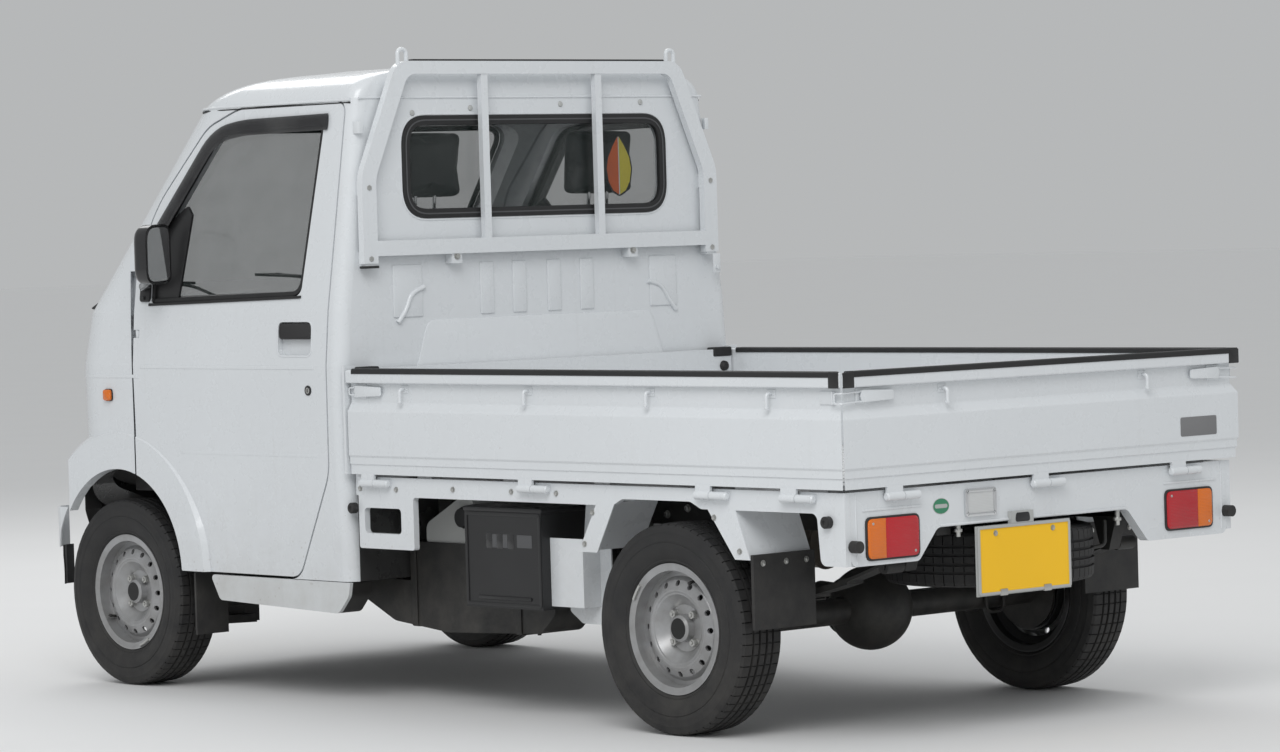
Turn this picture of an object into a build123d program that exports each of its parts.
"""Kei truck, full cab-over with a drop-side bed. Millimetres, X forward, Y left, Z up.

The origin is on the ground, at the middle of the body's length and width.
Each function below makes one sub-part and writes it to parts/.
"""
import math
import os

from build123d import *

# Running gear
WHEELBASE = 2350
FRONT_AXLE_X = 1322
REAR_AXLE_X = FRONT_AXLE_X - WHEELBASE
TRACK_HALF = 648
TYRE_R = 271
TYRE_W = 145
RIM_R = 168
RIM_W = 114
KINGPIN_LEAN = 10
KINGPIN_Y = 585
FRONT_AXLE_Z = TYRE_R

# Cab
BODY_WIDTH = 1475
BODY_HALF = BODY_WIDTH / 2
PAST_SIDE = BODY_HALF + 60
CAB_REAR_X = 262
CAB_FLOOR_Z = 341
LOW_CREASE_Z = 672
HIGH_CREASE_Z = 934
WAIST_Z = 1085
WINDOW_BAND = 583
ROOF_JOINT_Z = WAIST_Z + WINDOW_BAND
ROOF_RISE = 86
ROOF_TOP_Z = ROOF_JOINT_Z + ROOF_RISE
SIDE_WALL = 45
REAR_WALL = 30
ROOF_WALL = 26
GLASS = 5
DOOR_REAR_X = 330
DOOR_FRONT_X = 1220
DOOR_TOP_Z = ROOF_JOINT_Z - 8
DOOR_GAP = 6
ARCH_R = TYRE_R + 29
ARCH_X = FRONT_AXLE_X - 8
ARCH_Z = TYRE_R + 61
DOOR_PIN_R = 4
DOOR_PIN_X = DOOR_FRONT_X - 12
DOOR_PIN_Y = BODY_HALF - 15.5
DOOR_HINGES_Z = (720, 1010)
HINGE_HALF = 25
SEAT_BASE_Z = 690
FOOT_FLOOR_Z = 465
FIT = 0.3

# Bed
BED_FRONT_X = CAB_REAR_X - 12
BED_LENGTH = 1940
BED_REAR_X = BED_FRONT_X - BED_LENGTH
BED_FLOOR_Z = 650
GATE_BOTTOM_Z = BED_FLOOR_Z - 10
GATE_HEIGHT = 285
GATE_TOP_Z = GATE_BOTTOM_Z + GATE_HEIGHT
GATE_THICK = 32.5
BED_INNER_HALF = BODY_HALF - GATE_THICK
GATE_HINGE_Z = GATE_BOTTOM_Z - 24
GATE_HINGE_OUT = 20.5
GATE_HINGE_R = 11
GATE_PIN_R = 4
GATE_GAP = 5
BOARD_THICK = 25
SILL_Y = BODY_HALF - 24.5
SILL_THICK = 18
SILL_TOP_Z = GATE_BOTTOM_Z - 8
SILL_BOTTOM_Z = SILL_TOP_Z - 52
PANEL_X = BED_REAR_X + 24

# Frame
RAIL_Y = 335
RAIL_W = 50
RAIL_WALL = 4
RAIL_TOP_Z = BED_FLOOR_Z - 54
RAIL_DEPTH = 92
RAIL_DROP = 126
RAIL_FRONT_X = 1570
RAIL_WEB_Y = RAIL_Y + RAIL_W / 2 - RAIL_WALL / 2


def outline(points, radius=0):
    """Closed face through points in its own plane, with each corner rounded."""
    return make_face(FilletPolyline(*points, radius=radius, close=True))


def block(x, y, z):
    """Box between two limits on each axis."""
    size = [limits[1] - limits[0] for limits in (x, y, z)]
    centre = [(limits[1] + limits[0]) / 2 for limits in (x, y, z)]
    return Pos(*centre) * Box(*size)


def side_plate(points, y, radius=0):
    """Outline in X and Z, thick from y[0] to y[1]."""
    face = Pos(0, y[0], 0) * (Plane.XZ * outline(points, radius))
    return extrude(face, amount=y[1] - y[0], dir=(0, 1, 0))


def cross_plate(points, x, radius=0):
    """Outline in Y and Z, thick from x[0] to x[1]."""
    face = Pos(x[0], 0, 0) * (Plane.YZ * outline(points, radius))
    return extrude(face, amount=x[1] - x[0], dir=(1, 0, 0))


def flat_plate(points, z, radius=0):
    """Outline in X and Y, thick from z[0] to z[1]."""
    face = Pos(0, 0, z[0]) * outline(points, radius)
    return extrude(face, amount=z[1] - z[0], dir=(0, 0, 1))


def rod(start, end, radius):
    """Round bar from start to end."""
    line = Line(start, end)
    return extrude(Plane(origin=start, z_dir=line % 0) * Circle(radius), amount=line.length)


def bent_rod(points, radius, bend):
    """Round bar along straight runs joined by arcs."""
    path = FilletPolyline(*points, radius=bend)
    return sweep(Plane(origin=path @ 0, z_dir=path % 0) * Circle(radius), path=path)


def turned(points, centre, radius=0):
    """Solid turned about an axis along Y. Points are (out along Y, radius)."""
    face = Plane.YZ * outline(points, radius)
    return Pos(*centre) * revolve(face, axis=Axis.Y)


def other_side(part):
    """The same piece on the vehicle's right."""
    return mirror(part, about=Plane.XZ)


def both_sides(part):
    """The piece on the left and its mirror image."""
    return [part, other_side(part)]


def write(name, *parts):
    """One file for each node, which may hold several solids."""
    solids = [solid for part in parts for solid in part.solids()]
    export_step(Compound(solids), f"parts/{name}.step")


# Cab sections, from the sill up to the roof joint and from there to the crown.
# Columns: height, half width, foremost x, set-back of the side corner, corner radius, rear wall x
WAIST_ROW = (WAIST_Z, BODY_HALF - 10.5, 1636, 140, 180, CAB_REAR_X)
ROOF_ROW = (ROOF_JOINT_Z, BODY_HALF - 85.5, 1130, 120, 180, CAB_REAR_X)
LOWER_SECTIONS = (
    (CAB_FLOOR_Z, BODY_HALF - 19.5, 1634, 130, 150, CAB_REAR_X),
    (LOW_CREASE_Z, BODY_HALF - 4, 1656, 130, 170, CAB_REAR_X),
    (HIGH_CREASE_Z, BODY_HALF, 1664, 135, 180, CAB_REAR_X),
    WAIST_ROW,
)
UPPER_SECTIONS = (WAIST_ROW, ROOF_ROW)
ROOF_SECTIONS = (
    ROOF_ROW,
    (ROOF_TOP_Z - 48, BODY_HALF - 107.5, 1060, 120, 180, CAB_REAR_X + 3),
    (ROOF_TOP_Z - 17, BODY_HALF - 177.5, 940, 120, 160, CAB_REAR_X + 22),
    (ROOF_TOP_Z, BODY_HALF - 327.5, 770, 110, 120, CAB_REAR_X + 70),
)


def cab_section(row, side_in, front_in, rear_in):
    """Plan outline of the cab at one height, moved in by the given walls."""
    height, half, nose, set_back, corner, rear = row
    half -= side_in
    nose -= front_in
    rear += rear_in
    corner_x = nose - set_back
    points = [(rear, -half), (corner_x, -half), (nose, -half * 0.45),
              (nose, half * 0.45), (corner_x, half), (rear, half)]
    rear_r = max(38 - rear_in, 6)
    bow_r = 420
    face = outline(points, [rear_r, corner, bow_r, bow_r, corner, rear_r])
    return Pos(0, 0, height) * face


def cab_solid(sections, side_in=0, front_in=0, rear_in=0, drop=0, ruled=False):
    """Loft through the cab's plan outlines, all moved in by the same walls."""
    faces = [Pos(0, 0, -drop) * cab_section(row, side_in, front_in, rear_in) for row in sections]
    return loft(faces, ruled=ruled)


def cab_body(inset=0, rear_in=None):
    """Lower and upper cab as one closed form, moved in by a wall."""
    rear_in = inset if rear_in is None else rear_in
    lower = cab_solid(LOWER_SECTIONS, inset, inset, rear_in, ruled=True)
    upper = cab_solid(UPPER_SECTIONS, inset, inset, rear_in, ruled=True)
    return lower + upper


# Door outline in X and Z with the radius of each corner
DOOR_OUTLINE = (
    (DOOR_REAR_X - 26, DOOR_TOP_Z, 35),
    (780, DOOR_TOP_Z - 4, 250),
    (925, DOOR_TOP_Z - 53, 150),
    (1142, DOOR_TOP_Z - 268, 300),
    (DOOR_FRONT_X, WAIST_Z + 120, 120),
    (DOOR_FRONT_X, ARCH_Z + 228, 0),
    (ARCH_X - ARCH_R - 2, CAB_FLOOR_Z + 6, 0),
    (490, CAB_FLOOR_Z + 6, 60),
    (DOOR_REAR_X, 640, 150),
)
# Window opening in the door
DOOR_WINDOW = (
    (442, WAIST_Z + 43, 30),
    (1140, WAIST_Z + 27, 12),
    (1150, WAIST_Z + 205, 50),
    (890, DOOR_TOP_Z - 70, 120),
    (770, DOOR_TOP_Z - 50, 150),
    (388, DOOR_TOP_Z - 42, 40),
)
# Finger recess of the door handle
DOOR_HANDLE = (
    (386, 962, 22),
    (539, 962, 22),
    (539, 1058, 22),
    (386, 1058, 22),
)
HANDLE_DEPTH = 20
SCREEN_LOW_Y = BODY_HALF - 89.5
SCREEN_HIGH_Y = BODY_HALF - 153.5
WINDSCREEN_OUTLINE = (
    (-SCREEN_LOW_Y, WAIST_Z + 20, 60),
    (SCREEN_LOW_Y, WAIST_Z + 20, 60),
    (SCREEN_HIGH_Y, ROOF_JOINT_Z - 54, 70),
    (-SCREEN_HIGH_Y, ROOF_JOINT_Z - 54, 70),
)
REAR_WINDOW_HALF = 481
REAR_WINDOW_LOW_Z = ROOF_JOINT_Z - 323
REAR_WINDOW_HIGH_Z = ROOF_JOINT_Z - 63
REAR_WINDOW = (
    (-REAR_WINDOW_HALF, REAR_WINDOW_LOW_Z),
    (REAR_WINDOW_HALF, REAR_WINDOW_LOW_Z),
    (REAR_WINDOW_HALF, REAR_WINDOW_HIGH_Z),
    (-REAR_WINDOW_HALF, REAR_WINDOW_HIGH_Z),
)
REAR_WINDOW_R = 75
LAMP_OUTLINE = (
    (395, 745, 40),
    (600, 730, 50),
    (640, 780, 30),
    (640, 890, 25),
    (600, 905, 35),
    (430, 865, 50),
)


def grown(rows, gap):
    """A rounded outline moved outwards by gap, as a face in its own plane."""
    face = outline([row[:2] for row in rows], [row[2] for row in rows])
    return offset(face, gap, kind=Kind.INTERSECTION) if gap else face


def through_sides(rows, gap, y):
    """Prism across the vehicle's width over an outline in X and Z."""
    face = Pos(0, y[0], 0) * (Plane.XZ * grown(rows, gap))
    return extrude(face, amount=y[1] - y[0], dir=(0, 1, 0))


def through_front(rows, gap, x):
    """Prism along the vehicle over an outline in Y and Z."""
    face = Pos(x[0], 0, 0) * (Plane.YZ * grown(rows, gap))
    return extrude(face, amount=x[1] - x[0], dir=(1, 0, 0))


def arch_flare():
    """Raised band round the left front wheel arch."""
    edge = ARCH_R + 104
    band = ((-30, ARCH_R), (0, ARCH_R), (0, edge), (-14, edge + 14), (-30, edge + 14))
    ring = turned(band, (ARCH_X, BODY_HALF, ARCH_Z))
    return ring & block((880, 1600), (BODY_HALF - 140, PAST_SIDE), (CAB_FLOOR_Z, 800))


def cab():
    """Front panel, rear panel, doors, roof and all the glass."""
    skin = cab_body()
    for flare in both_sides(arch_flare()):
        skin = skin + flare
    shell = skin - cab_body(SIDE_WALL, REAR_WALL)
    arch = rod((ARCH_X, -PAST_SIDE, ARCH_Z), (ARCH_X, PAST_SIDE, ARCH_Z), ARCH_R)
    shell = shell - arch
    sides = ((300, PAST_SIDE), (-PAST_SIDE, -300))
    door_hole = [through_sides(DOOR_OUTLINE, DOOR_GAP, y) for y in sides]
    frame = shell - door_hole[0] - door_hole[1]
    middle = (DOOR_REAR_X + DOOR_FRONT_X) / 2

    front = frame & block((middle, 1800), (-PAST_SIDE, PAST_SIDE), (CAB_FLOOR_Z, ROOF_JOINT_Z))
    screen_hole = through_front(WINDSCREEN_OUTLINE, 0, (900, 1800))
    lamp_hole = through_front(LAMP_OUTLINE, FIT, (1400, 1800))
    front = front - screen_hole - lamp_hole - other_side(lamp_hole)
    shut = DOOR_FRONT_X + DOOR_GAP
    inner = BODY_HALF - SIDE_WALL - 10
    bevel = flat_plate([(shut - 1, BODY_HALF + 1), (shut, BODY_HALF), (shut + 10 + SIDE_WALL, inner),
                        (shut - 1, inner)], (500, WAIST_Z + 120))
    front = front - bevel - other_side(bevel)
    bumper_room = block((1560, 1800), (-PAST_SIDE, PAST_SIDE), (CAB_FLOOR_Z - 5, 655))
    front = front - (bumper_room - cab_body(10, 10))
    for height in DOOR_HINGES_Z:
        for hinge in both_sides(door_hinge(height)):
            front = front + hinge
    write("cab_front_panel", front)

    rear = frame & block((0, middle), (-PAST_SIDE, PAST_SIDE), (CAB_FLOOR_Z, ROOF_JOINT_Z))
    window_hole = cross_plate(REAR_WINDOW, (0, 400), REAR_WINDOW_R)
    rear = rear - window_hole - frame_tunnel()
    write("cab_rear_panel", rear)

    roof = cab_solid(ROOF_SECTIONS) - cab_solid(ROOF_SECTIONS, SIDE_WALL, SIDE_WALL, REAR_WALL, ROOF_WALL)
    write("cab_roof", roof)

    pane = cab_body(8) - cab_body(8 + GLASS)
    screen = pane & through_front(WINDSCREEN_OUTLINE, -FIT, (900, 1800))
    glass_x = CAB_REAR_X + 9
    half = REAR_WINDOW_HALF - FIT
    low = REAR_WINDOW_LOW_Z + FIT
    high = REAR_WINDOW_HIGH_Z - FIT
    corners = [(-half, low), (half, low), (half, high), (-half, high)]
    rear_glass = cross_plate(corners, (glass_x, glass_x + GLASS), REAR_WINDOW_R - FIT)
    write("windscreen", screen)
    write("rear_window", rear_glass)

    lamp = (cab_body(1) - cab_body(SIDE_WALL)) & through_front(LAMP_OUTLINE, 0, (1400, 1800))
    write("headlamps", *both_sides(lamp))

    side_pane = cab_body(18) - cab_body(18 + GLASS)
    finger_room = skin - cab_body(HANDLE_DEPTH)
    for name, y in (("left", sides[0]), ("right", sides[1])):
        door = shell & through_sides(DOOR_OUTLINE, 0, y)
        door = door - through_sides(DOOR_WINDOW, 0, y) - (finger_room & through_sides(DOOR_HANDLE, 0, y))
        for height in DOOR_HINGES_Z:
            door = door - hinge_pocket(height) - other_side(hinge_pocket(height))
        glass = side_pane & through_sides(DOOR_WINDOW, -FIT, y)
        write(f"{name}_door", door)
        write(f"{name}_door_glass", glass)


def hinge_pocket(height):
    """Room in the left door's edge for one fixed hinge knuckle and its pin."""
    room = block((DOOR_PIN_X - 15, DOOR_FRONT_X + 5), (BODY_HALF - SIDE_WALL - 47.5, DOOR_PIN_Y + 10),
                 (height - HINGE_HALF - 1, height + HINGE_HALF + 1))
    reach = HINGE_HALF + 17
    bore = rod((DOOR_PIN_X, DOOR_PIN_Y, height - reach), (DOOR_PIN_X, DOOR_PIN_Y, height + reach),
               DOOR_PIN_R + FIT)
    return room + bore


def frame_tunnel():
    """Room for the frame, gearbox and pipe under the cab's rear wall."""
    return block((CAB_REAR_X - 10, CAB_REAR_X + REAR_WALL + 40), (-400, 400), (CAB_FLOOR_Z - 1, 560))


def door_hinge(height):
    """Fixed knuckle of the left door with its pin and the arm to the front panel."""
    low = height - HINGE_HALF
    high = height + HINGE_HALF
    knuckle = rod((DOOR_PIN_X, DOOR_PIN_Y, low), (DOOR_PIN_X, DOOR_PIN_Y, high), 2 * DOOR_PIN_R)
    pin = rod((DOOR_PIN_X, DOOR_PIN_Y, low - 15), (DOOR_PIN_X, DOOR_PIN_Y, high + 15), DOOR_PIN_R)
    face = BODY_HALF - SIDE_WALL
    arm = [(DOOR_PIN_X - 3, DOOR_PIN_Y - 4), (DOOR_PIN_X + 6, DOOR_PIN_Y - 2), (DOOR_PIN_X + 27, face - 6),
           (DOOR_PIN_X + 100, face + 2), (DOOR_PIN_X + 100, face - 19), (DOOR_PIN_X + 20, face - 19)]
    return knuckle + pin + flat_plate(arm, (low, high))


# Section of a gate: out from the bed's inner face, height
GATE_SECTION = (
    (0, GATE_BOTTOM_Z, 0),
    (22, GATE_BOTTOM_Z, 0),
    (22, GATE_BOTTOM_Z + 25, 0),
    (25, GATE_BOTTOM_Z + 28, 0),
    (25, GATE_BOTTOM_Z + 46, 0),
    (GATE_THICK - 4, GATE_BOTTOM_Z + 52, 4),
    (GATE_THICK - 4, GATE_TOP_Z - 114, 8),
    (14, GATE_TOP_Z - 90, 8),
    (14, GATE_TOP_Z - 38, 0),
    (GATE_THICK, GATE_TOP_Z - 36, 4),
    (GATE_THICK, GATE_TOP_Z, 8),
    (0, GATE_TOP_Z, 5),
)
SIDE_HINGES_X = (136, -521, REAR_AXLE_X - 176, BED_REAR_X + 177)
TAIL_HINGES_Y = (-524, 0, 524)
HINGE_LONG = 110
GATE_ROOM_Z = (GATE_BOTTOM_Z - 40, GATE_TOP_Z + 75)


def gate_knuckles(fixed):
    """Barrels of one gate hinge along X at the origin. Out is +Y."""
    spans = ((-HINGE_LONG / 2, -1), (1, HINGE_LONG / 2))
    low, high = spans[0] if fixed else spans[1]
    barrel = rod((low, 0, 0), (high, 0, 0), GATE_HINGE_R)
    if fixed:
        pin = rod((low, 0, 0), (HINGE_LONG / 2 - 8, 0, 0), GATE_PIN_R)
        leaf = block((low, high), (-14, -5), (-9, 9))
        return barrel + pin + leaf
    bore = rod((low - 2, 0, 0), (HINGE_LONG / 2 - 7, 0, 0), GATE_PIN_R + FIT)
    leaf = block((low, high), (-5, 3), (0, GATE_BOTTOM_Z - GATE_HINGE_Z + 4))
    return barrel + leaf - bore


def side_gate():
    """Left gate with its half of the hinges. It ends on a mitre at the rear corner."""
    gate = Plane.YZ * grown(GATE_SECTION, 0)
    front = BED_FRONT_X - 15
    gate = Pos(BED_REAR_X, BED_INNER_HALF, 0) * extrude(gate, amount=front - BED_REAR_X, dir=(1, 0, 0))
    room = GATE_GAP / math.sqrt(2)
    far = 100
    corner_y = BODY_HALF
    mitre = flat_plate([(BED_REAR_X - 1, corner_y + 1), (BED_REAR_X - 1, corner_y - far),
                        (BED_REAR_X + far + room, corner_y - far), (BED_REAR_X + room, corner_y),
                        (BED_REAR_X + room - 1, corner_y + 1)], GATE_ROOM_Z)
    gate = gate - mitre
    for x in SIDE_HINGES_X:
        gate = gate + Pos(x, BED_INNER_HALF + GATE_HINGE_OUT, GATE_HINGE_Z) * gate_knuckles(False)
    return gate


def tail_gate():
    """Tailgate of the same section, mitred at both ends."""
    gate = Plane.YZ * grown(GATE_SECTION, 0)
    gate = extrude(gate, amount=2 * BODY_HALF, dir=(1, 0, 0))
    turn = Pos(BED_REAR_X + GATE_THICK, -BODY_HALF, 0) * Rot(0, 0, 90)
    gate = turn * gate
    room = GATE_GAP / math.sqrt(2)
    cut = flat_plate([(BED_REAR_X - 1, BODY_HALF + 1), (BED_REAR_X - 1, BODY_HALF - room),
                      (BED_REAR_X, BODY_HALF - room), (BED_REAR_X + 100, BODY_HALF - room - 100),
                      (BED_REAR_X + 100, BODY_HALF + 1)], GATE_ROOM_Z)
    gate = gate - cut - other_side(cut)
    for y in TAIL_HINGES_Y:
        place = Pos(BED_REAR_X + GATE_THICK - GATE_HINGE_OUT, y, GATE_HINGE_Z) * Rot(0, 0, 90)
        gate = gate + place * gate_knuckles(False)
    return gate


BEARERS_X = (BED_REAR_X + 130, REAR_AXLE_X - 262, REAR_AXLE_X + 268, REAR_AXLE_X + 628, BED_FRONT_X - 290)
GROOVES = 12
GROOVE_PITCH = 110
CORNER_PLATE_Z = 437
GUARD_Z = 457
# Wheel guards, from the rear axle: front and rear ends of the top edge, rear and front ends of the
# bottom edge, and the edge that the inner plate hangs on
GUARDS = (
    (273, 204, 275, 346, "front"),
    (-146, -248, -299, -244, "rear"),
)
GUARD_INNER_Y = 500
# Rear lamps: limits across and in height
LAMP_SPANS = ((464, 641), (-633, -456))
LAMP_Z = (466, 564)
REVERSING_SPAN = (191, 292)
REVERSING_Z = (552, 612)
PLATE_SIZE = (330, 165)
PLATE_CENTRE = (98, 434)


def bed():
    """Gates, floor, front board, side sills, rear panel and what they carry."""
    left = side_gate()
    write("left_gate", left)
    write("right_gate", other_side(left))
    write("tailgate", tail_gate())

    rear_inner = BED_REAR_X + GATE_THICK + GATE_GAP
    half = BED_INNER_HALF - GATE_GAP
    floor = block((rear_inner, BED_FRONT_X - BOARD_THICK), (-half, half), (BED_FLOOR_Z - 10, BED_FLOOR_Z))
    for x in BEARERS_X:
        floor = floor + block((x - 30, x + 30), (SILL_THICK - SILL_Y, SILL_Y - SILL_THICK),
                              (RAIL_TOP_Z, BED_FLOOR_Z - 5))
    for place in range(GROOVES):
        y = GROOVE_PITCH * (place - (GROOVES - 1) / 2)
        floor = floor - block((rear_inner + 40, BED_FRONT_X - BOARD_THICK - 40), (y - 18, y + 18),
                              (BED_FLOOR_Z - 3, BED_FLOOR_Z + 1))
    write("bed_floor", floor)

    board = block((BED_FRONT_X - BOARD_THICK, BED_FRONT_X), (-half, half), (SILL_BOTTOM_Z, GATE_TOP_Z))
    post = block((BED_FRONT_X - 9, BED_FRONT_X), (half - 5, BODY_HALF), (GATE_BOTTOM_Z, GATE_TOP_Z + 10))
    board = board + post + other_side(post)
    write("bed_front_board", board)

    write("bed_side_sills", *both_sides(side_sill()))
    write("rear_panel", rear_panel())
    lamps = tail_lamps()
    write("tail_lamps", *lamps)
    write("reversing_lamp", block((PANEL_X - 5, PANEL_X + 25), REVERSING_SPAN, REVERSING_Z))

    plate_x = BED_REAR_X + 8
    low = PLATE_CENTRE[1] - PLATE_SIZE[1] / 2
    high = low + PLATE_SIZE[1]
    left = PLATE_CENTRE[0] + PLATE_SIZE[0] / 2
    plate = block((plate_x, plate_x + 2), (left - PLATE_SIZE[0], left), (low, high))
    carrier = block((plate_x + 2, plate_x + 8), (left - PLATE_SIZE[0] - 6, left + 6), (low - 6, high + 5))
    carrier = carrier + block((plate_x + 2, PANEL_X - FIT), (60, 140), (high, high + 35))
    write("number_plate", plate + carrier)

    stop_end = SILL_Y + 15
    places = ((BED_FRONT_X - 10, 546), (BED_REAR_X + 80, 560))
    stops = [rod((x, SILL_Y, z), (x, stop_end, z), 15) for x, z in places]
    rear_stop = rod((PANEL_X - FIT, SILL_Y - 23, 500), (BED_REAR_X - 2, SILL_Y - 23, 500), 15)
    pieces = [piece for stop in stops + [rear_stop] for piece in both_sides(stop)]
    write("rubber_stops", *pieces)


def side_sill():
    """Left sill under the gate with its front plate, wheel guards and rear corner."""
    front = BED_FRONT_X - BOARD_THICK - FIT
    arch = REAR_AXLE_X
    low = CORNER_PLATE_Z
    rail = side_plate([(front, SILL_TOP_Z), (front, low), (front - 235, low), (front - 235, SILL_BOTTOM_Z),
                       (arch + 211, SILL_BOTTOM_Z), (arch + 172, SILL_BOTTOM_Z + 18),
                       (arch - 84, SILL_BOTTOM_Z + 18), (arch - 124, SILL_BOTTOM_Z),
                       (PANEL_X + 98, SILL_BOTTOM_Z), (PANEL_X + 87, low + 15), (PANEL_X, low + 15),
                       (PANEL_X, SILL_TOP_Z)],
                      (SILL_Y - SILL_THICK, SILL_Y), [0, 8, 8, 10, 30, 30, 30, 30, 20, 20, 0, 0])
    window = side_plate([(front - 182, low + 42), (front - 25, low + 42), (front - 25, low + 111),
                         (front - 182, low + 111)], (SILL_Y - 100, SILL_Y + 100), 12)
    rail = rail - window
    for front_top, rear_top, rear_low, front_low, hung_at in GUARDS:
        top_z = SILL_BOTTOM_Z + 3
        flange = side_plate([(arch + front_top, top_z), (arch + rear_top, top_z), (arch + rear_low, GUARD_Z),
                             (arch + front_low, GUARD_Z)], (SILL_Y - 4, SILL_Y))
        top, low_end = (front_top, front_low) if hung_at == "front" else (rear_top, rear_low)
        step = -6 if hung_at == "front" else 6
        corners = [(arch + top, top_z), (arch + top + step, top_z), (arch + low_end + step, GUARD_Z),
                   (arch + low_end, GUARD_Z)]
        plate = side_plate(corners, (GUARD_INNER_Y, SILL_Y - 1))
        rail = rail + flange + plate
    for x in SIDE_HINGES_X:
        rail = rail + Pos(x, BED_INNER_HALF + GATE_HINGE_OUT, GATE_HINGE_Z) * gate_knuckles(True)
    return rail


def rear_panel():
    """Panel under the tailgate with its lamp openings and raised middle."""
    back = PANEL_X
    front = back + 30
    half = SILL_Y - SILL_THICK - FIT
    points = [(-half, SILL_TOP_Z), (-half, 441), (-385, 441), (-308, 528),
              (392, 528), (460, 450), (half, 450), (half, SILL_TOP_Z)]
    panel = cross_plate(points, (back, front), [0, 20, 20, 25, 25, 20, 20, 0])
    holes = [(span, LAMP_Z) for span in LAMP_SPANS] + [(REVERSING_SPAN, REVERSING_Z)]
    for span, height in holes:
        wide = (span[0] - FIT, span[1] + FIT)
        high = (height[0] - FIT, height[1] + FIT)
        panel = panel - block((back - 1, front + 1), wide, high)
    for y in TAIL_HINGES_Y:
        place = Pos(BED_REAR_X + GATE_THICK - GATE_HINGE_OUT, y, GATE_HINGE_Z) * Rot(0, 0, 90)
        panel = panel + place * gate_knuckles(True)
    return panel


def tail_lamps():
    """Two rear lamps, proud of the panel."""
    return [block((PANEL_X - 9, PANEL_X + 25), span, LAMP_Z) for span in LAMP_SPANS]


def guard_frame():
    """Pressed guard frame on the cab's rear wall, with rope loops on its top."""
    back = CAB_REAR_X - 34
    front = CAB_REAR_X - 12
    outer = [(664, 1212), (664, 1455), (528, 1768), (-528, 1768), (-664, 1455), (-664, 1212)]
    inner = [(614, 1200), (614, 1447), (490, 1732), (-490, 1732), (-614, 1447), (-614, 1200)]
    frame = cross_plate(outer, (back, front), [0, 120, 60, 60, 120, 0])
    frame = frame - cross_plate(inner, (back - 1, front + 1), [0, 100, 40, 40, 100, 0])
    frame = frame + block((back, front), (-620, 620), (1232, 1274))
    for y in (-213, 213):
        frame = frame + block((back + 2, front - 2), (y - 12, y + 12), (1270, 1740))
    for y, z in ((639, 1225), (639, 1420), (-639, 1225), (-639, 1420), (330, 1225), (-330, 1225)):
        frame = frame + block((back + 4, CAB_REAR_X - FIT), (y - 18, y + 18), (z - 20, z + 20))
    for y in (-501, 501):
        loop = bent_rod([(back + 11, y - 15, 1755), (back + 11, y - 15, 1800), (back + 11, y + 15, 1800),
                         (back + 11, y + 15, 1755)], 6, 13)
        frame = frame + loop
    write("guard_frame", frame)


INTAKE_HALF = 330
INTAKE_SLOTS = ((352, 392), (408, 448))


def bumper():
    """Front bumper, wrapped round to the wheel arches."""
    rows = [(300, BODY_HALF - 37.5, 1672, 120, 150, CAB_REAR_X),
            (430, BODY_HALF - 9.5, 1697.5, 130, 170, CAB_REAR_X),
            (650, BODY_HALF - 2.5, 1690, 130, 170, CAB_REAR_X)]
    outer = cab_solid(rows, ruled=True)
    low, middle, top = rows
    longer = [(low[0] - 5,) + low[1:], middle, (top[0] + 5,) + top[1:]]
    inner = cab_solid(longer, 24, 30, ruled=True)
    shape = (outer - inner) & block((1560, 1800), (-PAST_SIDE, PAST_SIDE), (290, 660))
    arch = rod((ARCH_X, -PAST_SIDE, ARCH_Z), (ARCH_X, PAST_SIDE, ARCH_Z), ARCH_R)
    shape = shape - arch - cab_body(10, 10)
    for low, high in INTAKE_SLOTS:
        shape = shape - through_front([(-INTAKE_HALF, low, 8), (INTAKE_HALF, low, 8), (INTAKE_HALF, high, 8),
                                       (-INTAKE_HALF, high, 8)], 0, (1600, 1800))
    for side in (-1, 1):
        shape = shape - rod((1650, side * 530, 430), (1800, side * 530, 430), 42)
    write("front_bumper", shape)


HOUSE_R = 330
HOUSE_INNER_Y = 400
HOUSE_REAR_X = FRONT_AXLE_X - HOUSE_R - 2
TOWER_Z = 712
TOE_X = 1560
FRONT_WALL_X = 1606


def kingpin(z):
    """Point on the left kingpin axis at a height."""
    lean = math.tan(math.radians(KINGPIN_LEAN))
    return (FRONT_AXLE_X, KINGPIN_Y - (z - FRONT_AXLE_Z) * lean, z)


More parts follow.
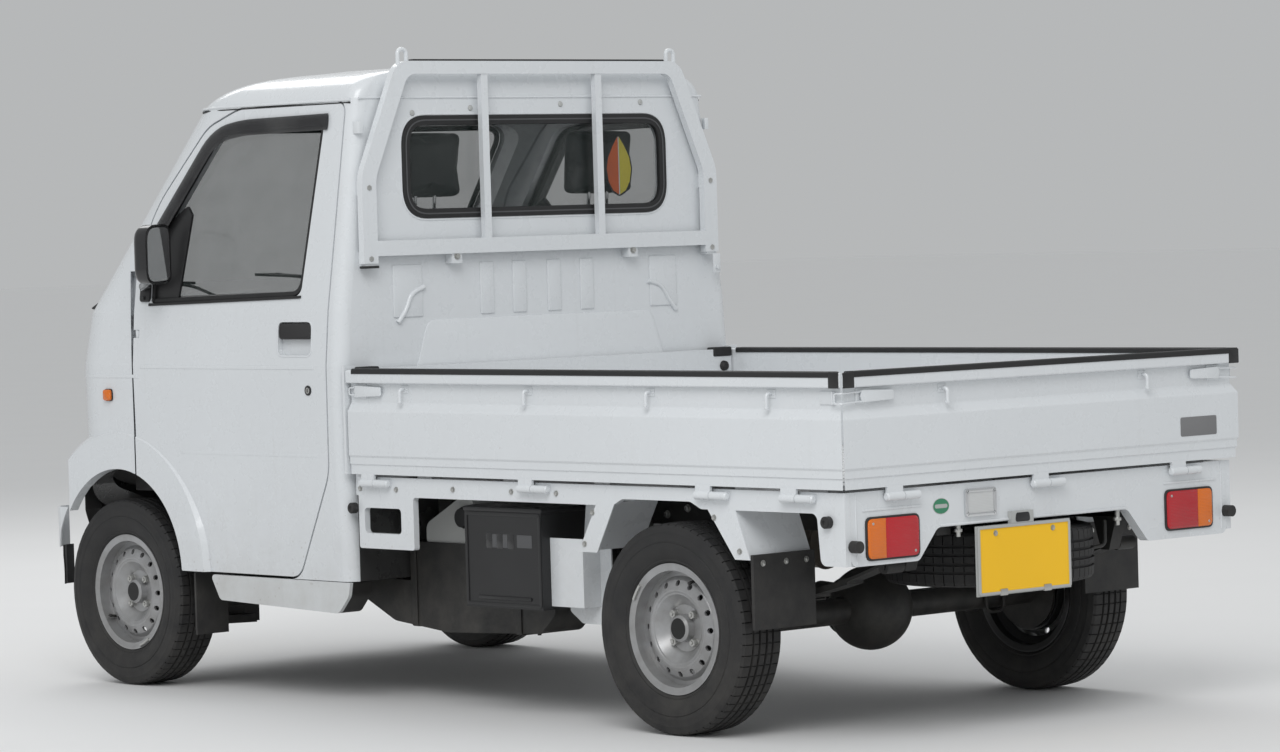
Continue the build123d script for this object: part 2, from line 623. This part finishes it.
def cab_floor():
    """Seat base, foot floor, toe board, wheelhouses, strut towers and door sills."""
    wall = 12
    inner = BODY_HALF - SIDE_WALL - 20
    base_front = FRONT_AXLE_X - 312
    back = CAB_REAR_X + REAR_WALL
    floor = block((back, base_front), (-560, 560), (SEAT_BASE_Z - wall, SEAT_BASE_Z))
    floor = floor + block((back, back + wall), (-560, 560), (CAB_FLOOR_Z, SEAT_BASE_Z))
    floor = floor + block((base_front - wall, base_front), (-HOUSE_INNER_Y, HOUSE_INNER_Y),
                          (FOOT_FLOOR_Z, SEAT_BASE_Z))
    floor = floor + block((base_front - wall, TOE_X), (-HOUSE_INNER_Y, HOUSE_INNER_Y),
                          (FOOT_FLOOR_Z - wall, FOOT_FLOOR_Z))
    toe = side_plate([(TOE_X - wall, FOOT_FLOOR_Z - wall), (TOE_X, FOOT_FLOOR_Z - wall), (FRONT_WALL_X, 640),
                      (FRONT_WALL_X, 700), (FRONT_WALL_X - wall, 700), (FRONT_WALL_X - wall, 645),
                      (TOE_X - wall, FOOT_FLOOR_Z)], (-HOUSE_INNER_Y, HOUSE_INNER_Y))
    floor = floor + toe
    for side in both_sides(wheelhouse(wall, inner, back)):
        floor = floor + side
    floor = floor - frame_tunnel()
    upper = floor & cab_body(SIDE_WALL + FIT, REAR_WALL + FIT)
    lower = floor & block((0, 1800), (-PAST_SIDE, PAST_SIDE), (200, CAB_FLOOR_Z))
    write("cab_floor", upper + lower)


def wheelhouse(wall, inner, back):
    """Left wheelhouse with the strut's tower, the door step and the sill below the door."""
    centre = (FRONT_AXLE_X, ARCH_Z - 22)
    axis = ((centre[0], HOUSE_INNER_Y - wall, centre[1]), (centre[0], inner, centre[1]))
    house = rod(*axis, HOUSE_R + wall)
    hollow = rod((centre[0], HOUSE_INNER_Y, centre[1]), (centre[0], inner + 1, centre[1]), HOUSE_R)
    keep = block((centre[0] - HOUSE_R - wall, FRONT_WALL_X), (0, PAST_SIDE), (CAB_FLOOR_Z, 900))
    side_wall = block((HOUSE_REAR_X, centre[0] + 200), (HOUSE_INNER_Y - wall, HOUSE_INNER_Y),
                      (CAB_FLOOR_Z, FOOT_FLOOR_Z))
    house = (house - hollow) & keep
    gap = block((centre[0] - 130, centre[0] + 130), (300, 500), (CAB_FLOOR_Z - 1, 440))
    house = house + side_wall - gap
    top = kingpin(TOWER_Z)
    tower = block((top[0] - 90, top[0] + 90), (HOUSE_INNER_Y - wall, top[1] + 95), (560, TOWER_Z))
    room = block((top[0] - 78, top[0] + 78), (HOUSE_INNER_Y, top[1] + 83), (540, TOWER_Z - wall))
    house = house + tower - room
    house = house - rod(kingpin(600), kingpin(800), 12)
    seat_side = block((back, HOUSE_REAR_X), (560 - wall, 560), (CAB_FLOOR_Z, SEAT_BASE_Z))
    step = block((back, centre[0] - HOUSE_R), (560, inner), (CAB_FLOOR_Z, CAB_FLOOR_Z + wall))
    shelf = block((centre[0] - HOUSE_R - 40, centre[0] - HOUSE_R), (HOUSE_INNER_Y - wall, 560),
                  (CAB_FLOOR_Z, SEAT_BASE_Z))
    outer = BODY_HALF - 19.5
    back_x = CAB_REAR_X + 6
    edge = [(back_x, CAB_FLOOR_Z - 2), (905, CAB_FLOOR_Z - 2), (862, 268), (322, 252), (back_x + 8, 300)]
    sill = side_plate(edge, (outer - 78, outer), [0, 10, 20, 30, 30])
    link = block((345, 905), (outer - 73, inner), (CAB_FLOOR_Z - 3, CAB_FLOOR_Z + 1))
    return house + seat_side + step + shelf + sill + link


COLUMN_Y = -340
WHEEL_CENTRE = (1095, COLUMN_Y, 1060)
COLUMN_AXIS = (-0.6, 0, 0.8)
STEERING_R = 180


def interior():
    """Dashboard, seats and the steering column."""
    dash_points = [(1330, 905), (1310, 1010), (1345, 1078), (1480, 1092), (1600, 1085), (1600, 905)]
    half = BODY_HALF - SIDE_WALL - 24.5
    dash = side_plate(dash_points, (-half, half), [40, 50, 50, 60, 0, 0])
    dash = dash & cab_body(SIDE_WALL + FIT)
    write("dashboard", dash)

    cushion = side_plate([(560, SEAT_BASE_Z + FIT), (1000, SEAT_BASE_Z + FIT), (1010, 830), (560, 790)],
                         (90, 560), [30, 30, 60, 30])
    back = side_plate([(455, 800), (555, 800), (432, 1350), (340, 1350)], (110, 540), [20, 20, 40, 40])
    head = cross_plate([(200, 1374), (450, 1374), (432, 1580), (218, 1580)], (335, 405), [30, 30, 40, 40])
    head = head & side_plate([(343, 1370), (405, 1370), (388, 1581), (335, 1581)], (190, 460))
    stalk = side_plate([(366, 1340), (384, 1340), (382, 1390), (364, 1390)], (295, 355))
    foot = block((470, 552), (150, 500), (SEAT_BASE_Z + FIT, 830))
    write("seats", *both_sides(cushion), *both_sides(back + head + stalk + foot))

    column = rod(column_point(40), column_point(330), 28)
    shaft = rod(column_point(12), column_point(728), 11)
    saddle = block((1212, 1420), (COLUMN_Y - 45, COLUMN_Y + 45), (880, 905 - FIT))
    write("steering_column", column + shaft + saddle)

    write("steering_wheel", steering_wheel())


def column_point(distance):
    """Point on the steering axis, this far below the wheel's centre."""
    return tuple(c - a * distance for c, a in zip(WHEEL_CENTRE, COLUMN_AXIS))


def steering_wheel():
    """Rim, three spokes and hub, square to the column."""
    ring = Torus(STEERING_R, 13)
    hub = Cylinder(42, 24)
    wheel = ring + hub
    for angle in (0, 180, 270):
        spoke = Rot(0, 0, angle) * (Pos(STEERING_R / 2, 0, 0) * Box(STEERING_R, 26, 9))
        wheel = wheel + spoke
    wheel = wheel - Pos(0, 0, -12) * Cylinder(11 + FIT, 20)
    place = Plane(origin=WHEEL_CENTRE, x_dir=(0, 1, 0), z_dir=COLUMN_AXIS)
    return place * wheel


BOX_X = (-508, -197)
BOX_Y = (520, 690)
TANK_Y = (370, 512)
TANK_Z = 440
ENGINE_Y = 200
ENGINE_MOUNT_X = 720
SPARE_CENTRE = (BED_REAR_X + 297, -75, 425)
SPRING_Y = 430
SPRING_HALF = 500
SPRING_EYES = ((REAR_AXLE_X - 512, 430), (REAR_AXLE_X + 488, 430))
AXLE_TUBE_R = 36
SHAFT_R = 30


def chassis():
    """Ladder frame, with the rails dropped under the cab."""
    y = (RAIL_Y - RAIL_W / 2, RAIL_Y + RAIL_W / 2)
    low_top = RAIL_TOP_Z - RAIL_DROP
    back = BED_REAR_X + 60
    low_bottom = low_top - RAIL_DEPTH
    bottom = RAIL_TOP_Z - RAIL_DEPTH
    points = [(back, RAIL_TOP_Z), (150, RAIL_TOP_Z), (400, low_top - 20), (RAIL_FRONT_X, low_top - 20),
              (RAIL_FRONT_X, low_bottom), (380, low_bottom), (120, bottom), (back, bottom)]
    corners = [0, 60, 60, 0, 0, 60, 60, 0]
    rail = side_plate(points, y, corners)
    hollow = offset(outline(points, corners), -RAIL_WALL, kind=Kind.INTERSECTION)
    hollow = Pos(0, y[0] - 1, 0) * (Plane.XZ * hollow)
    rail = rail - extrude(hollow, amount=RAIL_W - RAIL_WALL + 1, dir=(0, 1, 0))
    frame = rail + other_side(rail)
    mid_z = RAIL_TOP_Z - RAIL_DEPTH / 2
    for x, z in ((BED_REAR_X + 100, mid_z), (-640, mid_z), (60, mid_z), (RAIL_FRONT_X - 30, low_top - 65)):
        frame = frame + rod((x, -RAIL_WEB_Y, z), (x, RAIL_WEB_Y, z), 24)
    mount = block((ENGINE_MOUNT_X - 30, ENGINE_MOUNT_X + 30), (ENGINE_Y + FIT, RAIL_WEB_Y), (400, 440))
    frame = frame + mount + other_side(mount)
    frame = frame + frame_brackets()
    for x, z in SPRING_EYES:
        hanger = side_plate([(x - 45, RAIL_TOP_Z - RAIL_DEPTH + 10), (x + 45, RAIL_TOP_Z - RAIL_DEPTH + 10),
                             (x + 14, z - 14), (x - 14, z - 14)], (RAIL_WEB_Y, SPRING_Y - 32))
        pin = rod((x, SPRING_Y - 40, z), (x, SPRING_Y + 34, z), 8)
        frame = frame + hanger + pin + other_side(hanger + pin)
    write("chassis_frame", frame)

    engine = block((520, 980), (-ENGINE_Y, ENGINE_Y), (300, 640))
    engine = engine + rod((240, 0, 400), (521, 0, 400), 115)
    write("engine", engine)


def frame_brackets():
    """What carries the battery box, fuel tank, muffler and spare wheel."""
    outer = RAIL_WEB_Y
    arms = [block((x - 15, x + 15), (outer, BOX_Y[0] - FIT), (515, 545)) for x in (-455, -240)]
    arms += [side_plate([(x - 20, 560), (x + 20, 560), (x + 20, TANK_Z + FIT), (x - 20, TANK_Z + FIT)],
                        (outer, TANK_Y[0] + 40)) for x in (-60, 120)]
    arms += [block((x - 15, x + 15), (-318, -300), (457, RAIL_TOP_Z - RAIL_DEPTH + 5)) for x in (-460, -580)]
    x, y, z = SPARE_CENTRE
    mid_z = RAIL_TOP_Z - RAIL_DEPTH / 2
    arms.append(rod((x, -RAIL_WEB_Y, mid_z), (x, RAIL_WEB_Y, mid_z), 20))
    arms.append(rod((x, y, z + CAP_OUT + FIT), (x, y, mid_z), 10))
    bracket = arms[0]
    for arm in arms[1:]:
        bracket = bracket + arm
    return bracket


def leaf(length, low, thickness):
    """One leaf, bowed up towards its ends, about the axle's centre line."""
    half = length / 2
    rise = (half / SPRING_HALF) ** 2 * (SPRING_EYES[0][1] - TYRE_R - AXLE_TUBE_R - 26)
    bottom = ThreePointArc((-half, low + rise), (0, low), (half, low + rise))
    high = low + thickness
    top = ThreePointArc((-half, high + rise), (0, high), (half, high + rise))
    ends = [Line(bottom @ 1, top @ 1), Line(bottom @ 0, top @ 0)]
    face = make_face([bottom, top] + ends)
    face = Pos(0, SPRING_Y - 30, 0) * (Plane.XZ * face)
    return extrude(face, amount=60, dir=(0, 1, 0))


def rear_suspension():
    """Leaf springs with dampers, and the rear axle they carry."""
    low = TYRE_R + AXLE_TUBE_R + 10
    spring = leaf(1000, low + 16, 8) + leaf(760, low + 8, 9) + leaf(520, low, 9)
    rear_eye, front_eye = SPRING_EYES
    spring = Pos(REAR_AXLE_X, 0, 0) * spring
    ends = (rear_eye[0] + 12, front_eye[0] - 12)
    spring = spring & block(ends, (SPRING_Y - 40, SPRING_Y + 40), (low - 1, RAIL_TOP_Z))
    for x, z in SPRING_EYES:
        spring = spring + rod((x, SPRING_Y - 30, z), (x, SPRING_Y + 30, z), 18)
        spring = spring - rod((x, SPRING_Y - 60, z), (x, SPRING_Y + 60, z), 8 + FIT)
    write("leaf_springs", *both_sides(spring))

    tube = rod((REAR_AXLE_X, -TRACK_HALF + 50, TYRE_R), (REAR_AXLE_X, TRACK_HALF - 50, TYRE_R), AXLE_TUBE_R)
    ball = Pos(REAR_AXLE_X, 0, TYRE_R) * Sphere(112)
    nose = rod((REAR_AXLE_X, 0, TYRE_R), (REAR_AXLE_X + 190, 0, TYRE_R + 12), 52)
    axle = tube + ball + nose
    for side in (-1, 1):
        pad = block((REAR_AXLE_X - 60, REAR_AXLE_X + 60), sorted((side * 400, side * 460)),
                    (TYRE_R + 10, low - FIT))
        back, stub = (rod((REAR_AXLE_X, side * (TRACK_HALF + low_y), TYRE_R),
                          (REAR_AXLE_X, side * (TRACK_HALF + high_y), TYRE_R), radius)
                      for low_y, high_y, radius in ((-52, -46, 104), (-60, 10, 16)))
        axle = axle + pad + back + stub
    write("rear_axle", axle)

    back, front = (REAR_AXLE_X + 190, TYRE_R + 12), (240, 400)
    lean = math.atan2(front[1] - back[1], front[0] - back[0])
    gap = SHAFT_R * math.sin(lean) + FIT
    write("propeller_shaft", rod((back[0] + gap, 0, back[1]), (front[0] - gap, 0, front[1]), SHAFT_R))


CAP_OUT = 42
DISC_HOLES = 16
DISC_HOLE_R = 7.5
DISC_HOLE_PITCH_R = 116


def wheel(side, rear):
    """Steel rim with disc, hub and brake, about its centre. Out is +Y for the left."""
    half = RIM_W / 2
    rim = [(half, RIM_R), (half - 4, RIM_R), (half - 7, 154), (18, 152), (6, 132), (-18, 132), (-30, 152),
           (-half + 7, 154), (-half + 4, RIM_R), (-half, RIM_R), (-half, RIM_R - 4), (-half + 3, 149),
           (-32, 147), (-20, 127), (8, 127), (20, 147), (half - 3, 149), (half, RIM_R - 4)]
    disc = [(9, 18), (9, 64), (34, 90), (37, 104), (28, 122), (18, 132), (17, 149), (22, 149), (24, 134),
            (34, 124), (43, 105), (40, 88), (15, 60), (15, 18)]
    dish = turned(disc, (0, 0, 0))
    for hole in range(DISC_HOLES):
        angle = math.radians(360 * hole / DISC_HOLES)
        x = DISC_HOLE_PITCH_R * math.cos(angle)
        z = DISC_HOLE_PITCH_R * math.sin(angle)
        dish = dish - rod((x, 20, z), (x, 50, z), DISC_HOLE_R)
    solid = turned(rim, (0, 0, 0)) + dish
    cap = [(15, 0), (15, 36), (CAP_OUT - 6, 34), (CAP_OUT, 26), (CAP_OUT, 0)]
    depth = 40 if rear else 16
    hub = [(-depth, 16 + FIT), (-depth, 110), (-6, 110), (-6, 44), (9.5, 44), (9.5, 16 + FIT)]
    solid = solid + turned(cap, (0, 0, 0)) + turned(hub, (0, 0, 0))
    if rear:
        solid = solid - turned([(-depth - 1, 15), (-depth - 1, 102), (-14, 102), (-14, 15)], (0, 0, 0))
    return solid if side > 0 else other_side(solid)


WIDEST_SHARE = 0.456


def tyre():
    """Tyre about its centre, open towards the rim."""
    half = TYRE_W / 2
    seat = RIM_R - 13.4
    side = TYRE_R - RIM_R
    wide = RIM_R + side * WIDEST_SHARE
    wall = min(30, side / 4)
    out = [(36, seat), (48, seat), (48, RIM_R + 1), (58, RIM_R + 2), (half, wide), (68, TYRE_R - 9),
           (50, TYRE_R)]
    inside = [(56, TYRE_R - 19), (60, wide), (44, RIM_R + 4)]
    left = [(-y, r) for y, r in out]
    right = out[::-1]
    hollow = [(y, r) for y, r in inside[::-1]] + [(-y, r) for y, r in inside]
    radii = [0, 0, 3, 3, wall, 8, 5]
    inner_radii = [6, 20, 8, 8, 20, 6]
    return turned(left + right + hollow, (0, 0, 0), radii + radii[::-1] + inner_radii)


def wheels():
    """Four wheels and their tyres."""
    for end, x in (("front", FRONT_AXLE_X), ("rear", REAR_AXLE_X)):
        for name, side in (("left", 1), ("right", -1)):
            place = Pos(x, side * TRACK_HALF, TYRE_R)
            write(f"{end}_{name}_wheel", place * wheel(side, end == "rear"))
            write(f"{end}_{name}_tyre", place * tyre())
    spare_place = Pos(*SPARE_CENTRE) * Rot(90, 0, 0)
    write("spare_wheel", spare_place * wheel(1, False), spare_place * tyre())


ARM_LONG = 115
ARM_Z = FRONT_AXLE_Z - 46
LOWER_JOINT_Z = FRONT_AXLE_Z - 99


def knuckle():
    """Left upright with stub axle, steering arm, strut and spring."""
    x = FRONT_AXLE_X
    upright = rod(kingpin(LOWER_JOINT_Z + 20), kingpin(FRONT_AXLE_Z + 149), 24)
    carrier = rod((x, KINGPIN_Y - 10, FRONT_AXLE_Z), (x, TRACK_HALF - 22, FRONT_AXLE_Z), 40)
    stub = rod((x, KINGPIN_Y, FRONT_AXLE_Z), (x, TRACK_HALF + 8, FRONT_AXLE_Z), 16)
    strut = rod(kingpin(FRONT_AXLE_Z + 129), kingpin(640), 22)
    piston = rod(kingpin(640), kingpin(TOWER_Z + 14), 9)
    lower_seat = rod(kingpin(556), kingpin(562), 50)
    upper_seat = rod(kingpin(684), kingpin(690), 56)
    spring = rod(kingpin(562), kingpin(684), 44) - rod(kingpin(560), kingpin(685), 34)
    ball = rod(kingpin(LOWER_JOINT_Z - 4), kingpin(LOWER_JOINT_Z + 28), 10)
    arm = rod((x, KINGPIN_Y + 3, ARM_Z), (x - ARM_LONG, KINGPIN_Y + 3, ARM_Z), 12)
    return upright + carrier + stub + strut + piston + lower_seat + upper_seat + spring + ball + arm


def front_suspension():
    """Crossmember and lower arms, the rack that slides in it and the two knuckles."""
    x = FRONT_AXLE_X
    member = block((x - 60, x + 60), (-RAIL_Y, RAIL_Y), (300, RAIL_TOP_Z - RAIL_DROP - RAIL_DEPTH - FIT))
    joint = kingpin(LOWER_JOINT_Z)
    low = LOWER_JOINT_Z - 12
    arm = flat_plate([(x - 130, 340), (x + 130, 340), (x + 26, joint[1] + 20), (x - 26, joint[1] + 20)],
                     (low, low + 24), [0, 0, 24, 24])
    gap = [(x - 70, 380), (x + 70, 380), (x + 20, 520), (x - 20, 520)]
    arm = arm - flat_plate(gap, (low - 10, low + 30), 12)
    arm = arm - rod(kingpin(low - 10), kingpin(low + 40), 10 + FIT)
    bracket = block((x - 90, x + 90), (300, 352), (low, 301))
    member = member + bracket + other_side(bracket) + arm + other_side(arm)
    housing_x = FRONT_AXLE_X - ARM_LONG
    housing = rod((housing_x, -230, ARM_Z), (housing_x, 230, ARM_Z), 24)
    housing = housing - rod((housing_x, -240, ARM_Z), (housing_x, 240, ARM_Z), 12 + FIT)
    foot = block((housing_x - 10, x - 52), (-200, 200), (ARM_Z + 15, 320))
    housing = housing + (foot - rod((housing_x, -240, ARM_Z), (housing_x, 240, ARM_Z), 23))
    write("front_suspension", member + housing)

    rack = rod((housing_x, -KINGPIN_Y + 22, ARM_Z), (housing_x, KINGPIN_Y - 22, ARM_Z), 12)
    write("steering_rack", rack)
    left = knuckle()
    write("left_knuckle", left)
    write("right_knuckle", other_side(left))


def under_body():
    """Tank, battery box, exhaust and mud flaps."""
    cab_under = CAB_FLOOR_Z - 9
    tank = side_plate([(-350, 262), (-350, TANK_Z), (CAB_REAR_X - 17, TANK_Z), (CAB_REAR_X - 7, cab_under),
                       (480, cab_under), (480, 284), (330, 217), (100, 194), (-290, 208)], TANK_Y,
                      [30, 20, 20, 5, 15, 40, 60, 60, 40])
    write("fuel_tank", tank)
    seat = TANK_Z + FIT
    filler = side_plate([(-15, seat), (-15, 565), (45, 565), (190, 490), (190, seat)], (430, 505),
                        [8, 20, 60, 30, 8])
    write("filler_box", filler)
    top = RAIL_TOP_Z - FIT
    back, front = BOX_X
    inner = side_plate([(-590, top), (-680, top), (-680, 256), (-562, 256), (back - 6, 286), (back - 6, 330),
                        (-560, 360)], (596, 600), [0, 0, 12, 20, 10, 10, 30])
    outer = block((-637, back - FIT), (656, 660), (304, 484))
    step = block((-637, -633), (598, 658), (304, 484))
    hanger = block((REAR_AXLE_X + 250, -590), (560, 600), (top - 12, top))
    write("splash_panel", inner + outer + step + hanger)
    box = block(BOX_X, BOX_Y, (294, 556))
    write("battery_box", box)
    pipe = bent_rod([(430, -230, 330), (100, -250, 330), (-300, -250, 410), (-420, -250, 410)], 20, 80)
    can = rod((-420, -250, 410), (-620, -250, 410), 68)
    way = [(-620, -250, 410), (-680, -262, 385), (-700, -400, TYRE_R + 54), (-705, -640, TYRE_R + 49)]
    tail = bent_rod(way, 18, 24)
    write("exhaust", pipe + can + tail)
    front_flap = block((ARCH_X - 330, ARCH_X - 322), (600, SILL_Y - 1), (162, CAB_FLOOR_Z))
    back = REAR_AXLE_X + GUARDS[1][2] - FIT
    rear_flap = block((back - 10, back), (GUARD_INNER_Y, SILL_Y - 1), (282, GUARD_Z + 13))
    write("mud_flaps", *both_sides(front_flap), *both_sides(rear_flap))


MIRROR_SIZE = (48, 130, 176)
MIRROR_X = 1035
MIRROR_Y = BODY_HALF + 57
MIRROR_Z = 1251
MIRROR_TURN = 20


def mirrors():
    """Door mirrors on their arms."""
    depth, width, height = MIRROR_SIZE
    housing = extrude(RectangleRounded(depth, width, depth / 3), height / 2, both=True)
    housing = Pos(MIRROR_X, MIRROR_Y, MIRROR_Z) * Rot(0, 0, MIRROR_TURN) * housing
    arm_z = MIRROR_Z - height / 2 + 15
    arm = rod((1165, BODY_HALF - 17, arm_z - 15), (MIRROR_X + 10, MIRROR_Y - 15, arm_z), 12)
    foot = block((1145, 1185), (BODY_HALF - 21.5, BODY_HALF - 11.5), (arm_z - 50, arm_z + 15)) - cab_body(0)
    mirror_piece = housing + arm + foot - cab_body(-FIT)
    write("left_mirror", mirror_piece)
    write("right_mirror", other_side(mirror_piece))


def main():
    """Build and write every sub-part."""
    os.makedirs("parts", exist_ok=True)
    cab()
    cab_floor()
    interior()
    bumper()
    mirrors()
    bed()
    guard_frame()
    chassis()
    rear_suspension()
    front_suspension()
    wheels()
    under_body()


main()
